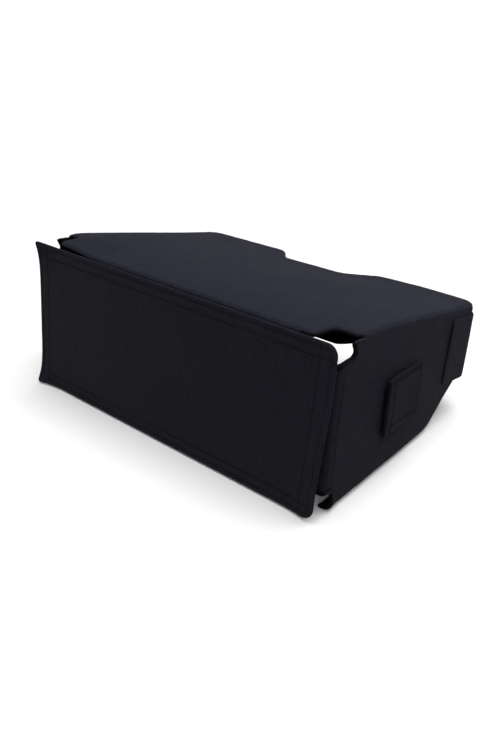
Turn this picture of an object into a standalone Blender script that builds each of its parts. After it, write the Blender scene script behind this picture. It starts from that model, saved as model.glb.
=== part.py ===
"""Padded fitted cover for one line-array loudspeaker module.

The cover is sewn from foam-backed cloth.  The module stands on its floor face and is a wedge:
its front leans back, its top falls away to the rear and its lower rear corner is cut off by a ramp.
The cover follows that wedge with a tray-shaped top panel, two side panels that turn in under the
module, a rear flap whose ends wrap on to the sides, a stiff front panel with free margins, a thick
flap over each side handle, and folded tape round the four corner cut-outs.

Metres.  X is to the right seen from the front, Y runs to the rear and Z is up.  Shapes are worked
out with the floor at Z = 0 and the foot of the front at Y = 0, and are then carried by one empty,
which puts the origin on the underside of the top panel, where the cover hangs on the module.
"""

import math
from collections import namedtuple

import bmesh
import bpy
from mathutils import Matrix, Vector

# Overall form of the covered module
HALF_WIDTH = 0.367          # centre plane to the outer face of a side panel, at the front
REAR_HALF_WIDTH = 0.353     # the same at the rear
DEPTH = 0.527               # front foot to the top of the rear
FRONT_FOOT_Y = 0.010        # foot of the panels behind the front panel
FRONT_LEAN = 6.8            # degrees that the front leans back
TOP_FALL = 10.1             # degrees that the top falls to the rear
REAR_LEAN = 6.6             # degrees that the rear leans back
REAR_TOP_Z = 0.217          # where the rear meets the top
RAMP_START_Y = 0.368        # where the lower ramp leaves the floor
RAMP_RISE = 37.0            # degrees, first stretch of the ramp
RAMP_BREAK_Y = 0.426        # where it flattens
RAMP_UPPER_RISE = 29.5      # degrees, second stretch

# Central recess in the rear
RECESS_OUTER = 0.150        # half width at the rear face
RECESS_INNER = 0.077        # half width at its bottom
RECESS_DEPTH = 0.065
REAR_CORNER_RADIUS = 0.027  # rear corners seen from above

# Cloth
CLOTH = 0.005               # foam-backed cloth
GAP = 0.0004                # clear space kept between neighbouring pieces
SWELL = 0.011               # how far the padding swells the top, most in its front third
EDGE_SWELL = 0.75           # share of that swell at the side edges
SWELL_START_Y = 0.045
SEAM_DROP = 0.0065          # seam of the top panel, below the top plane
TURN_IN = 0.026             # how far the side panels turn in round the module

# Corner cut-outs
CUT_WIDTH = 0.045           # across, from the outer side face
CUT_TOP_Y = 0.085           # rear edge of the upper ones
CUT_TOP_Z = 0.264           # lower edge of the upper ones
CUT_FLOOR_Y = 0.042         # rear edge of the lower ones
CUT_FLOOR_Z = 0.046         # upper edge of the lower ones
CUT_RADIUS = 0.014
TAPE_WIDTH = 0.009
TAPE = 0.0012

# Rear flap
FLAP_CLOTH = 0.0055
TAB_EDGE_Y = 0.417          # front edge of a tab, at the height of the rear's top
TAB_EDGE_LEAN = 7.3
TAB_DROP = 0.0135           # tab's upper edge, below the seam of the top panel
FLAP_FOOT_DROP = 0.1455     # its lower edge, square down from the top plane

# Front panel
FRONT_WIDTH = 0.740
FRONT_SLANT = 0.302         # its height, measured up the lean
FRONT_RADII = (0.010, 0.020)    # corners on the left, which curl forward, and on the right
FRONT_CLOTH = 0.006
CURL = 0.011                # how far the free corners curl forward, on the left
RIGHT_CURL = 0.003          # the same on the right
SAG_BACK = 0.0028           # how far the left edge leans back between its corners
MARGIN = 0.075              # width of the margin that curls

# Handle flaps
HANDLE_WIDTH = 0.117
HANDLE_HEIGHT = 0.108
HANDLE_Y = 0.2355
HANDLE_Z = 0.1325
HANDLE_TILT = 4.5           # degrees, front end up
HANDLE_CLOTH = 0.008
HANDLE_LIFT = 0.004         # how far its front edge stands off the side
HANDLE_RADIUS = 0.005

# Where the cover hangs on the module: the underside of the top panel
MOUNT_Y = 0.260

ARC_STEPS = 4
ROLL_ZONE = 0.014           # width of the band in which the form rolls over into its sides
FAR = 1.0                   # reach of a cutting block

Side = namedtuple("Side", "name y z heading spans corner_radius roll")

FRONT_TAN = math.tan(math.radians(FRONT_LEAN))
TOP_TAN = math.tan(math.radians(TOP_FALL))
RAMP_BREAK_Z = (RAMP_BREAK_Y - RAMP_START_Y) * math.tan(math.radians(RAMP_RISE))

# The module's side view as a closed path, counter-clockwise with Y to the right: a point on each
# straight side, its heading in degrees, its number of spans, the radius of the corner that it
# ends in, and the radius with which it rolls over into the side panel.
SIDE_VIEW = (
    Side("floor", RAMP_START_Y, 0.0, 0.0, 4, 0.050, 0.010),
    Side("ramp", RAMP_START_Y, 0.0, RAMP_RISE, 1, 0.045, 0.010),
    Side("upper_ramp", RAMP_BREAK_Y, RAMP_BREAK_Z, RAMP_UPPER_RISE, 1, 0.016, 0.010),
    Side("rear", DEPTH, REAR_TOP_Z, 90.0 - REAR_LEAN, 3, 0.013, 0.012),
    Side("top", DEPTH, REAR_TOP_Z, 180.0 - TOP_FALL, 8, 0.011, 0.009),
    Side("front", FRONT_FOOT_Y, 0.0, 270.0 - FRONT_LEAN, 4, 0.014, 0.010),
)


def top_plane(y):
    """Height of the top plane at Y."""
    return REAR_TOP_Z + (DEPTH - y) * TOP_TAN


def swell(x, y, z):
    """How far the padding lifts a point of the cover: nothing low down, all of it at the top."""
    along = min(max((y - SWELL_START_Y) / (DEPTH - SWELL_START_Y), 0.0), 1.0)
    across = 1.0 - (1.0 - EDGE_SWELL) * min(abs(x) / HALF_WIDTH, 1.0) ** 2
    height = min(max((z - 0.12) / (top_plane(y) - 0.13), 0.0), 1.0)
    return SWELL * 6.75 * along * (1.0 - along) ** 2 * across * height


def crossing(first, second):
    """Where two lines in the side view meet; each is a point and a heading."""
    (y1, z1), a1 = first
    (y2, z2), a2 = second
    c1, s1 = math.cos(a1), math.sin(a1)
    c2, s2 = math.cos(a2), math.sin(a2)
    along = ((y2 - y1) * s2 - (z2 - z1) * c2) / (c1 * s2 - s1 * c2)
    return Vector((y1 + along * c1, z1 + along * s1))


def rolled_in(x, radius, edge):
    """How far a face has rolled in at x, for a roll of this radius that ends at edge."""
    into = abs(x) - (edge - radius)
    if into <= 0:
        return 0.0
    return radius - math.sqrt(max(radius * radius - into * into, 0.0))


def recess(x):
    """How far the rear face is set forward at x: central recess and rounded rear corners."""
    share = (RECESS_OUTER - abs(x)) / (RECESS_OUTER - RECESS_INNER)
    share = min(max(share, 0.0), 1.0)
    soft = share * share * (3 - 2 * share)
    return RECESS_DEPTH * soft + rolled_in(x, REAR_CORNER_RADIUS, HALF_WIDTH)


def section(x, out):
    """The side view at x, moved out by that much, as points (y, z) in a fixed number."""
    lines = []
    for side in SIDE_VIEW:
        heading = math.radians(side.heading)
        shift = out - rolled_in(x, side.roll, HALF_WIDTH)
        y = side.y + shift * math.sin(heading)
        z = side.z - shift * math.cos(heading)
        if side.name == "rear":
            y -= recess(x)
        lines.append(((y, z), heading, shift))
    points = []
    count = len(lines)
    for i, side in enumerate(SIDE_VIEW):
        here, after = lines[i], lines[(i + 1) % count]
        before = lines[i - 1]
        start = crossing(before[:2], here[:2])
        corner = crossing(here[:2], after[:2])
        turn = math.atan2(math.sin(after[1] - here[1]), math.cos(after[1] - here[1]))
        bend = math.copysign(1.0, turn)
        radius = side.corner_radius + bend * min(here[2], after[2])
        radius = max(radius, 0.0012)
        back = radius * abs(math.tan(turn / 2))
        arc_start = corner - back * Vector((math.cos(here[1]), math.sin(here[1])))
        run = corner - start
        for k in range(1, side.spans):
            points.append(start + run * (k / side.spans))
        inward = bend * Vector((-math.sin(here[1]), math.cos(here[1])))
        centre = arc_start + inward * radius
        for k in range(ARC_STEPS + 1):
            swept = here[1] + turn * k / ARC_STEPS
            outward = bend * Vector((math.sin(swept), -math.cos(swept)))
            points.append(centre + outward * radius)
    return points


def stations():
    """The x positions of the sections, from the left side to the right."""
    recess_steps = [RECESS_INNER + (RECESS_OUTER - RECESS_INNER) * k / 5 for k in range(6)]
    corner_start = HALF_WIDTH - REAR_CORNER_RADIUS
    bend = [corner_start + REAR_CORNER_RADIUS * s for s in (0.0, 0.22, 0.42, 0.58)]
    roll = [HALF_WIDTH - 0.010 * (1 - s) for s in (0.12, 0.42, 0.66, 0.84, 0.96, 1.0)]
    half = [0.036, *recess_steps, 0.190, 0.245, 0.300, *bend, *roll]
    return [-x for x in reversed(half)] + [0.0] + half


def clear_scene():
    for thing in list(bpy.data.objects):
        bpy.data.objects.remove(thing, do_unlink=True)


def collection(name):
    made = bpy.data.collections.new(name)
    bpy.context.scene.collection.children.link(made)
    return made


def material(name, colour, roughness, metallic=0.0):
    made = bpy.data.materials.new(name)
    made.use_nodes = True
    shader = made.node_tree.nodes["Principled BSDF"]
    shader.inputs["Base Color"].default_value = (*colour, 1.0)
    shader.inputs["Roughness"].default_value = roughness
    shader.inputs["Metallic"].default_value = metallic
    return made


def object_from(name, mesh_builder, where):
    """A named object whose mesh is what the builder leaves in a bmesh."""
    shape = bmesh.new()
    mesh_builder(shape)
    mesh = bpy.data.meshes.new(name)
    shape.to_mesh(mesh)
    shape.free()
    made = bpy.data.objects.new(name, mesh)
    where.objects.link(made)
    return made


def form(name, out, where):
    """The whole covered module as one closed body, moved out by that much on every face."""

    def loft(shape):
        rings = []
        for x in stations():
            share = max(0.0, abs(x) - (HALF_WIDTH - ROLL_ZONE)) / ROLL_ZONE
            reach = x + math.copysign(share, x) * out
            rings.append([shape.verts.new((reach, p.x, p.y)) for p in section(x, out)])
        for one, other in zip(rings, rings[1:]):
            for i in range(len(one)):
                j = (i + 1) % len(one)
                shape.faces.new((one[i], one[j], other[j], other[i]))
        bmesh.ops.triangulate(shape, faces=shape.faces[:])
        shape.faces.new(list(reversed(rings[0])))
        shape.faces.new(rings[-1])
        bmesh.ops.recalc_face_normals(shape, faces=shape.faces)

    return object_from(name, loft, where)


def block(name, low, high, where, radius=0.0):
    """A box between two corners, with its edges rounded if a radius is given."""

    def build(shape):
        bmesh.ops.create_cube(shape, size=1.0)
        size = Vector(high) - Vector(low)
        middle = (Vector(high) + Vector(low)) / 2
        bmesh.ops.transform(
            shape, matrix=Matrix.Translation(middle) @ Matrix.Diagonal((*size, 1.0)), verts=shape.verts
        )
        if radius:
            bmesh.ops.bevel(
                shape, geom=shape.edges[:], offset=radius, segments=4, profile=0.5, affect="EDGES"
            )

    return object_from(name, build, where)


def sloped_block(name, upper, lower, where):
    """A block parallel to the top plane, between two depths measured square to that plane."""
    made = block(name, (-FAR, -FAR, -lower), (FAR, FAR, -upper), where)
    turn = Matrix.Rotation(math.radians(-TOP_FALL), 4, "X")
    made.data.transform(Matrix.Translation((0.0, DEPTH, REAR_TOP_Z)) @ turn)
    return made


def leaning_block(name, y, z, lean, where):
    """Everything behind a plane that passes y, z and leans back by that many degrees."""
    made = block(name, (-FAR, 0.0, -FAR), (FAR, FAR, FAR), where)
    made.data.transform(Matrix.Translation((0.0, y, z)) @ Matrix.Rotation(math.radians(-lean), 4, "X"))
    return made


def cut_out(name, side, end, grow, where):
    """The block that a corner cut-out takes away, grown on every face."""
    inner = HALF_WIDTH - CUT_WIDTH - grow
    if end == "top":
        y_high, z_low, z_high = CUT_TOP_Y + grow, CUT_TOP_Z - grow, 0.40
    else:
        y_high, z_low, z_high = CUT_FLOOR_Y + grow, -0.10, CUT_FLOOR_Z + grow
    low = (inner, -0.10, z_low) if side > 0 else (-0.45, -0.10, z_low)
    high = (0.45, y_high, z_high) if side > 0 else (-inner, y_high, z_high)
    return block(name, low, high, where, CUT_RADIUS + grow)


def combine(target, tool, operation):
    """Applies one exact Boolean to target and removes the tool."""
    step = target.modifiers.new(operation.lower(), "BOOLEAN")
    step.operation = operation
    step.solver = "EXACT"
    step.object = tool
    graph = bpy.context.evaluated_depsgraph_get()
    result = bpy.data.meshes.new_from_object(target.evaluated_get(graph))
    target.modifiers.clear()
    old = target.data
    target.data = result
    bpy.data.meshes.remove(old)
    bpy.data.objects.remove(tool, do_unlink=True)
    return target


def shell(name, outer, inner, where):
    """Cloth between two offsets of the covered module."""
    return combine(form(name, outer, where), form(name + "_hollow", inner, where), "DIFFERENCE")


def soften(piece):
    """Tapers a finished piece in plan and swells its top, the same way for every piece."""
    taper = 1.0 - REAR_HALF_WIDTH / HALF_WIDTH
    for v in piece.data.vertices:
        x, y, z = v.co
        v.co.z = z + swell(x, y, z)
        v.co.x = x * (1.0 - taper * max(y, 0.0) / DEPTH)


def finish(piece, surface, carrier):
    """Material, smooth shading and parenting of a finished piece."""
    piece.data.materials.clear()
    piece.data.materials.append(surface)
    piece.data.shade_smooth()
    piece.data.set_sharp_from_angle(angle=math.radians(35))
    piece.parent = carrier


def make_top_panel(where):
    """Tray: the top with its edges rolled down to the seam, less the two upper cut-outs."""
    panel = shell("top_panel", 0.0, -CLOTH, where)
    above = sloped_block("above_seam", -0.10, SEAM_DROP, where)
    combine(panel, above, "INTERSECT")
    for side in (-1, 1):
        combine(panel, cut_out("cut", side, "top", 0.0, where), "DIFFERENCE")
    return panel


def make_side_panel(name, side, where):
    """Side face with its edges turned in round the module, below the seam of the top panel."""
    panel = shell(name, 0.0, -CLOTH, where)
    combine(panel, sloped_block("below_seam", SEAM_DROP + GAP, FAR, where), "INTERSECT")
    inner = HALF_WIDTH - TURN_IN
    low = (inner, -FAR, -FAR) if side > 0 else (-FAR, -FAR, -FAR)
    high = (FAR, FAR, FAR) if side > 0 else (-inner, FAR, FAR)
    combine(panel, block("half", low, high, where), "INTERSECT")
    for end in ("top", "floor"):
        combine(panel, cut_out("cut", side, end, 0.0, where), "DIFFERENCE")
    return panel


def make_binding(name, side, end, where):
    """Tape folded over the edge of a corner cut-out, as a U in section."""
    tape = shell(name, GAP + TAPE, -CLOTH - GAP - TAPE, where)
    combine(tape, cut_out("band", side, end, TAPE_WIDTH, where), "INTERSECT")
    combine(tape, cut_out("hole", side, end, -GAP - TAPE, where), "DIFFERENCE")
    cloth = shell("cloth_room", GAP, -CLOTH - GAP, where)
    combine(cloth, cut_out("edge_room", side, end, -GAP, where), "DIFFERENCE")
    combine(tape, cloth, "DIFFERENCE")
    behind = leaning_block("behind_front", FRONT_FOOT_Y - 0.0012, 0.0, FRONT_LEAN, where)
    combine(tape, behind, "INTERSECT")
    inner = HALF_WIDTH - TURN_IN
    no_cloth = sloped_block("no_cloth", SEAM_DROP, FAR, where)
    combine(no_cloth, block("middle", (-inner, -FAR, -FAR), (inner, FAR, FAR), where), "INTERSECT")
    combine(tape, no_cloth, "DIFFERENCE")
    if end == "floor":
        combine(tape, block("off_floor", (-FAR, -FAR, 0.0015), (FAR, FAR, FAR), where), "INTERSECT")
    return tape


def make_rear_flap(where):
    """Flap over the open back; its ends run on round the corners as lower tabs."""
    flap = shell("rear_flap", GAP + FLAP_CLOTH, GAP, where)
    behind = leaning_block("behind_tab_edge", TAB_EDGE_Y, REAR_TOP_Z, TAB_EDGE_LEAN, where)
    combine(flap, behind, "INTERSECT")
    middle = sloped_block("under_roll_above_foot", SEAM_DROP + 0.001, FLAP_FOOT_DROP, where)
    combine(flap, middle, "INTERSECT")
    for side in (-1, 1):
        corner = sloped_block("above_tab", -0.10, SEAM_DROP + TAB_DROP, where)
        inner = HALF_WIDTH - 0.016
        low = (inner, -FAR, -FAR) if side > 0 else (-FAR, -FAR, -FAR)
        high = (FAR, FAR, FAR) if side > 0 else (-inner, FAR, FAR)
        combine(corner, block("end", low, high, where), "INTERSECT")
        combine(flap, corner, "DIFFERENCE")
    return flap


def stops(length, low_radius, high_radius, spans):
    """Grid positions along an edge: the corner arcs at both ends and even spans between."""
    half = length / 2
    marks = [-half + low_radius * k / ARC_STEPS for k in range(ARC_STEPS)]
    low, high = -half + low_radius, half - high_radius
    marks += [low + (high - low) * k / spans for k in range(spans + 1)]
    marks += [half - high_radius * k / ARC_STEPS for k in reversed(range(ARC_STEPS))]
    return marks


def rounded_sheet(name, size, radii, spans, depth, where):
    """A sheet in the XZ plane, standing on Z = 0: left and right corner radii, and Y by depth."""
    width, height = size
    tall = max(radii)
    across = stops(width, *radii, spans[0])
    up = stops(height, tall, tall, spans[1])

    def build(shape):
        bmesh.ops.create_grid(shape, x_segments=len(across) - 1, y_segments=len(up) - 1, size=0.5)
        for v in shape.verts:
            x = across[round((v.co.x + 0.5) * (len(across) - 1))]
            z = up[round((v.co.y + 0.5) * (len(up) - 1))]
            radius = radii[1] if x > 0 else radii[0]
            a = (abs(x) - (width / 2 - radius)) / radius
            b = (abs(z) - (height / 2 - tall)) / tall
            if a > 0 and b > 0:
                pull = max(a, b) / math.hypot(a, b)
                x = math.copysign(width / 2 - radius + a * pull * radius, x)
                z = math.copysign(height / 2 - radius + b * pull * radius, z)
            elif b > 0:
                z = math.copysign(height / 2 - radius + b * radius, z)
            v.co = (x, depth(x, z), z + height / 2)

    return object_from(name, build, where)


def make_front_panel(where):
    """Stiff front panel: flat in the middle, with free corners that curl forward."""
    size = (FRONT_WIDTH, FRONT_SLANT)

    def depth(x, z):
        margin = max(0.0, 1.0 - (FRONT_WIDTH / 2 - abs(x)) / MARGIN) ** 2
        corner = abs(2.0 * z / FRONT_SLANT) ** 6
        if x > 0:
            return -RIGHT_CURL * margin * corner
        return margin * (SAG_BACK * (1.0 - corner) - CURL * corner)

    panel = rounded_sheet("front_panel", size, FRONT_RADII, (12, 8), depth, where)
    panel.data.transform(Matrix.Rotation(math.radians(-FRONT_LEAN), 4, "X"))
    lowest = min(v.co.z for v in panel.data.vertices)
    thicken(panel, FRONT_CLOTH, 0.0016)
    panel.location.z = -lowest
    panel.location.y = FRONT_FOOT_Y - 0.0095
    return panel


def thicken(panel, thickness, rounding):
    """Solidify towards the sheet's back, with the rim's edges rounded."""
    solid = panel.modifiers.new("cloth", "SOLIDIFY")
    solid.thickness = thickness
    solid.offset = -1.0
    rim = panel.modifiers.new("rim", "BEVEL")
    rim.width = rounding
    rim.segments = 2
    rim.limit_method = "ANGLE"
    rim.angle_limit = math.radians(50)


def make_handle_flap(name, side, where):
    """Thick padded flap on a side panel; its front edge stands a little off the cloth."""
    size = (HANDLE_WIDTH, HANDLE_HEIGHT)

    def depth(x, z):
        return -HANDLE_LIFT * max(0.0, 0.5 - x / HANDLE_WIDTH) ** 2

    flap = rounded_sheet(name, size, (HANDLE_RADIUS, HANDLE_RADIUS), (4, 2), depth, where)
    taper_turn = math.atan2(HALF_WIDTH - REAR_HALF_WIDTH, DEPTH)
    outward = HALF_WIDTH - (HALF_WIDTH - REAR_HALF_WIDTH) * HANDLE_Y / DEPTH + GAP + HANDLE_CLOTH
    flap.data.transform(Matrix.Translation((0.0, 0.0, -HANDLE_HEIGHT / 2)))
    flap.data.transform(Matrix.Rotation(math.radians(HANDLE_TILT), 4, "Y"))
    flap.data.transform(Matrix.Rotation(math.radians(90.0) + taper_turn, 4, "Z"))
    flap.data.transform(Matrix.Translation((outward, HANDLE_Y, HANDLE_Z)))
    if side < 0:
        flap.data.transform(Matrix.Diagonal((-1.0, 1.0, 1.0, 1.0)))
        flap.data.flip_normals()
    thicken(flap, HANDLE_CLOTH, 0.0018)
    return flap


def main():
    clear_scene()
    cover = collection("loudspeaker_cover")
    carrier = bpy.data.objects.new("speaker_top", None)
    cover.objects.link(carrier)
    mount_z = top_plane(MOUNT_Y) + swell(0.0, MOUNT_Y, top_plane(MOUNT_Y)) - CLOTH
    carrier.location = (0.0, -MOUNT_Y, -mount_z)

    outer_cloth = material("padded_cloth", (0.020, 0.020, 0.026), 0.78)
    front_cloth = material("front_cloth", (0.012, 0.012, 0.016), 0.70)
    tape_cloth = material("binding_tape", (0.008, 0.008, 0.010), 0.55)

    soft = [(make_top_panel(cover), outer_cloth)]
    for word, side in (("right", 1), ("left", -1)):
        soft.append((make_side_panel(f"side_panel_{word}", side, cover), outer_cloth))
        for end in ("top", "floor"):
            name = f"corner_binding_{end}_{word}"
            soft.append((make_binding(name, side, end, cover), tape_cloth))
    soft.append((make_rear_flap(cover), outer_cloth))
    for piece, surface in soft:
        soften(piece)
        finish(piece, surface, carrier)

    finish(make_front_panel(cover), front_cloth, carrier)
    for word, side in (("right", 1), ("left", -1)):
        finish(make_handle_flap(f"handle_flap_{word}", side, cover), outer_cloth, carrier)


main()
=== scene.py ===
"""Looks of the padded loudspeaker cover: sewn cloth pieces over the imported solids.

Each panel is cut flat as a pattern, in metres along and across its cloth, and is lifted on to the
form that it covers: trays roll over their edges, the rear flap follows its contour.  The form's
sizes are those of the solids, unless a comment gives the solids' own, with the floor at Z = 0 and
the foot of the front at Y = 0, and a last shift brings every point into the row's frame.
"""
import math

import bpy
import numpy as np
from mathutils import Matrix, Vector, noise
from mathutils.geometry import delaunay_2d_cdt


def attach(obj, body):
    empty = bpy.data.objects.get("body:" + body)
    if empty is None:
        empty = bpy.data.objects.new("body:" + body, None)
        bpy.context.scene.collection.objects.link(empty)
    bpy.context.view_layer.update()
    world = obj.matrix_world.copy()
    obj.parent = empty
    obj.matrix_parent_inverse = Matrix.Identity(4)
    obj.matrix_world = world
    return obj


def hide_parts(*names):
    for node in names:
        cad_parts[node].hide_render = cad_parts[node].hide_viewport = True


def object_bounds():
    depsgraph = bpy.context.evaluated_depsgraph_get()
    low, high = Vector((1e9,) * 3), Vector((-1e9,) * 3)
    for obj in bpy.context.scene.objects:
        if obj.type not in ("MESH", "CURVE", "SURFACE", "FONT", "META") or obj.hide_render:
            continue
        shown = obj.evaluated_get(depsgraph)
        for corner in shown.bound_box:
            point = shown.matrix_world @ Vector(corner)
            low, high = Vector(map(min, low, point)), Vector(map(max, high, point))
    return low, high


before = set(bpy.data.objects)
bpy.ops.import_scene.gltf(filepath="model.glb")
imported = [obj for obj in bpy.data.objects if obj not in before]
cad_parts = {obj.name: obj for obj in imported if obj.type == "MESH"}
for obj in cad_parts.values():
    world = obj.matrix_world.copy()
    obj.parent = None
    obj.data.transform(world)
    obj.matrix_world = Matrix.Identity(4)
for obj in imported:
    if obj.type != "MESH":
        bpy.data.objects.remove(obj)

CAD_BOX = [list(corner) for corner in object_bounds()]

# ---------------------------------------------------------------- sizes of the form, metres
HALF_WIDTH = 0.367
REAR_HALF_WIDTH = 0.353
DEPTH = 0.527
FRONT_FOOT_Y = 0.010
FRONT_LEAN = math.radians(6.8)
TOP_FALL = math.radians(10.1)
REAR_LEAN = math.radians(6.6)
REAR_TOP_Z = 0.217
RAMP_START_Y = 0.368
RAMP_RISE = math.radians(37.0)
RAMP_BREAK_Y = 0.426
RAMP_UPPER_RISE = math.radians(29.5)
RECESS_OUTER = 0.150
RECESS_INNER = 0.077
RECESS_DEPTH = 0.065
REAR_CORNER_RADIUS = 0.034   # seen from above (0.027 in the solids)
SWELL = 0.011                # how far the padding swells the top
EDGE_SWELL = 0.75            # share of that at the side edges
SWELL_START_Y = 0.045
LEFT_FULLNESS = 0.0085       # padding pushed up at the left front
REAR_FULLNESS = 0.0026       # and at the right rear
SIDE_BULGE = 0.0036          # padding pushed out low on the sides
FRONT_GAP = 0.0028           # between the top's front edge and the front panel's lip
SEAM_DROP = 0.0065           # seam of the top, below the top plane
TURN_IN = 0.026              # how far the sides turn in round the module
TOP_CUT_DEPTH = 0.0540       # upper cut-outs, from the top's front edge to the rear
MOUNT_Y = 0.260

# Cloth and trimmings
CLOTH = 0.0050              # foam-backed cloth
TOP_ROLL = 0.0090           # radius with which the top rolls over into its seam
SIDE_ROLLS = {              # radii with which the sides turn in (0.010 in the solids, 0.012 rear)
    "front": 0.009, "floor": 0.019, "ramp": 0.019, "upper_ramp": 0.019, "rear": REAR_CORNER_RADIUS,
}
FLAP_CLOTH = 0.0040         # (0.0055 in the solids)
HANDLE_CLOTH = 0.0078       # (0.008)
FRONT_CLOTH = 0.0040        # (0.006)
SKIN_GAP = 0.0004           # clear space between neighbouring cloths
TAPE_WIDTH = 0.0085         # (0.009)
TOP_TAPE_WIDTH = 0.0050     # the same on the top panel
TAPE = 0.0011               # thickness of the tape (0.0012)
STITCH = 0.0036             # pitch of the machine stitching
THREAD = 0.00034            # radius of the thread

# Front panel
FRONT_WIDTH = 0.740
FRONT_SLANT = 0.302
UPPER_CURL = 0.011          # how far its left corners stand forward
LOWER_CURL = 0.014
UPPER_RISE = 0.0035         # how far the upper left corner lifts
RIGHT_CURL = 0.008          # (0.003)
SAG_BACK = 0.0012           # how far the left edge leans back between its corners (0.0028)
CURL_MARGIN = 0.075         # width of the margin that curls
FRONT_SHIFT = 0.0045        # to the left of the middle
LOWER_SHIFT = 0.0045        # the lower right corner, further to the left
FRONT_BACK_Y = 0.0047       # its back face at the foot
FRONT_FOOT = 0.0018         # its lower edge above the floor

# Handle flaps
HANDLE_WIDTH = 0.117
HANDLE_HEIGHT = 0.108
HANDLE_Y = 0.2355
HANDLE_Z = 0.1325
HANDLE_TILT = math.radians(4.5)
HANDLE_LIFT = 0.004         # how far its front edge stands off the side
HANDLE_STAND = 0.0024       # how far the whole flap does, where the side bulges

# Camera, as the product photograph is taken
CAMERA_AZIMUTH = 41.4707
CAMERA_ELEVATION = 27.7004
CAMERA_DISTANCE = 1.4746
CAMERA_TARGET = (0.0639, 0.1840, 0.0934)
CAMERA_LENS = 36.600        # on a 36 mm high sensor

FRONT_TAN = math.tan(FRONT_LEAN)
TOP_TAN = math.tan(TOP_FALL)


def top_plane(y):
    return REAR_TOP_Z + (DEPTH - y) * TOP_TAN


# Height of the mount, the underside of the top panel, which is the row's origin
MOUNT_SHARE = (MOUNT_Y - SWELL_START_Y) / (DEPTH - SWELL_START_Y)
MOUNT_Z = top_plane(MOUNT_Y) + SWELL * 6.75 * MOUNT_SHARE * (1.0 - MOUNT_SHARE) ** 2 - CLOTH
FLOOR_Z = CAD_BOX[0][2]

# Front edge of the top plane
EDGE_Z = (REAR_TOP_Z + (DEPTH - FRONT_FOOT_Y) * TOP_TAN) / (1.0 + FRONT_TAN * TOP_TAN)
EDGE_Y = FRONT_FOOT_Y + EDGE_Z * FRONT_TAN
TOP_LENGTH = (DEPTH - EDGE_Y) / math.cos(TOP_FALL)


def smooth_share(share):
    return share * share * (3.0 - 2.0 * share)


def soften(points, hand=1.0):
    """Swells the top and tapers the plan, as the solids are, and shifts into the row's frame.

    hand is -1 for a piece that is mirrored to the left afterwards.
    """
    x, y, z = points[:, 0], points[:, 1], points[:, 2]
    along = np.clip((y - SWELL_START_Y) / (DEPTH - SWELL_START_Y), 0.0, 1.0)
    across = 1.0 - (1.0 - EDGE_SWELL) * np.minimum(np.abs(x) / HALF_WIDTH, 1.0) ** 2
    height = np.clip((z - 0.12) / (top_plane(y) - 0.13), 0.0, 1.0)
    lifted = z + SWELL * 6.75 * along * (1.0 - along) ** 2 * across * height
    left = smooth_share(np.clip((-0.205 - x * hand) / 0.115, 0.0, 1.0))
    lifted += LEFT_FULLNESS * left * np.exp(-np.maximum(y - 0.13, 0.0) / 0.105) * height
    rear = smooth_share(np.clip((y - 0.28) / 0.13, 0.0, 1.0))
    lifted += REAR_FULLNESS * np.exp(-((x * hand - 0.24) / 0.10) ** 2) * rear * height
    taper = 1.0 - (1.0 - REAR_HALF_WIDTH / HALF_WIDTH) * np.maximum(y, 0.0) / DEPTH
    return np.stack([x * taper, y - MOUNT_Y, lifted - MOUNT_Z], axis=1)


# ---------------------------------------------------------------- flat geometry
class Path:
    """A closed flat outline, counter-clockwise, as dense points with outward normals."""

    def __init__(self, points, normals):
        self.points = points
        self.normals = normals

    def moved_out(self, distance):
        return Path(self.points + self.normals * distance, self.normals)


def rounded(corners, step=0.003, turn_step=math.radians(7.0)):
    """The outline through (u, v, radius) corners, counter-clockwise, with round corners."""
    count = len(corners)
    points, normals = [], []
    trims = []
    for i, (u, v, radius) in enumerate(corners):
        here = np.array((u, v))
        before = np.array(corners[i - 1][:2])
        after = np.array(corners[(i + 1) % count][:2])
        a = (here - before) / np.linalg.norm(here - before)
        b = (after - here) / np.linalg.norm(after - here)
        turn = math.atan2(a[0] * b[1] - a[1] * b[0], float(a @ b))
        trim = radius * math.tan(abs(turn) / 2)
        trims.append((here, a, b, turn, radius, trim))
    for i, (here, a, b, turn, radius, trim) in enumerate(trims):
        start = here - a * trim
        steps = max(1, math.ceil(abs(turn) / turn_step)) if radius else 0
        for k in range(steps + 1):
            swept = turn * k / max(steps, 1)
            normal_a = np.array((a[1], -a[0]))
            if radius:
                side = math.copysign(1.0, turn)
                centre = start - normal_a * radius * side
                c, s = math.cos(swept), math.sin(swept)
                normal = np.array((
                    normal_a[0] * c - normal_a[1] * s, normal_a[0] * s + normal_a[1] * c))
                points.append(centre + normal * radius * side)
            else:
                mitre = normal_a + np.array((b[1], -b[0]))
                normal = mitre / np.linalg.norm(mitre)
                points.append(here)
            normals.append(normal)
        after, _, _, _, _, next_trim = trims[(i + 1) % count]
        run_start = here + b * trim
        run = (after - b * next_trim) - run_start
        length = float(np.linalg.norm(run))
        spans = max(1, round(length / step))
        flat_normal = np.array((b[1], -b[0]))
        for k in range(1, spans):
            points.append(run_start + run * (k / spans))
            normals.append(flat_normal)
    return Path(np.array(points), np.array(normals))


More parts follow.
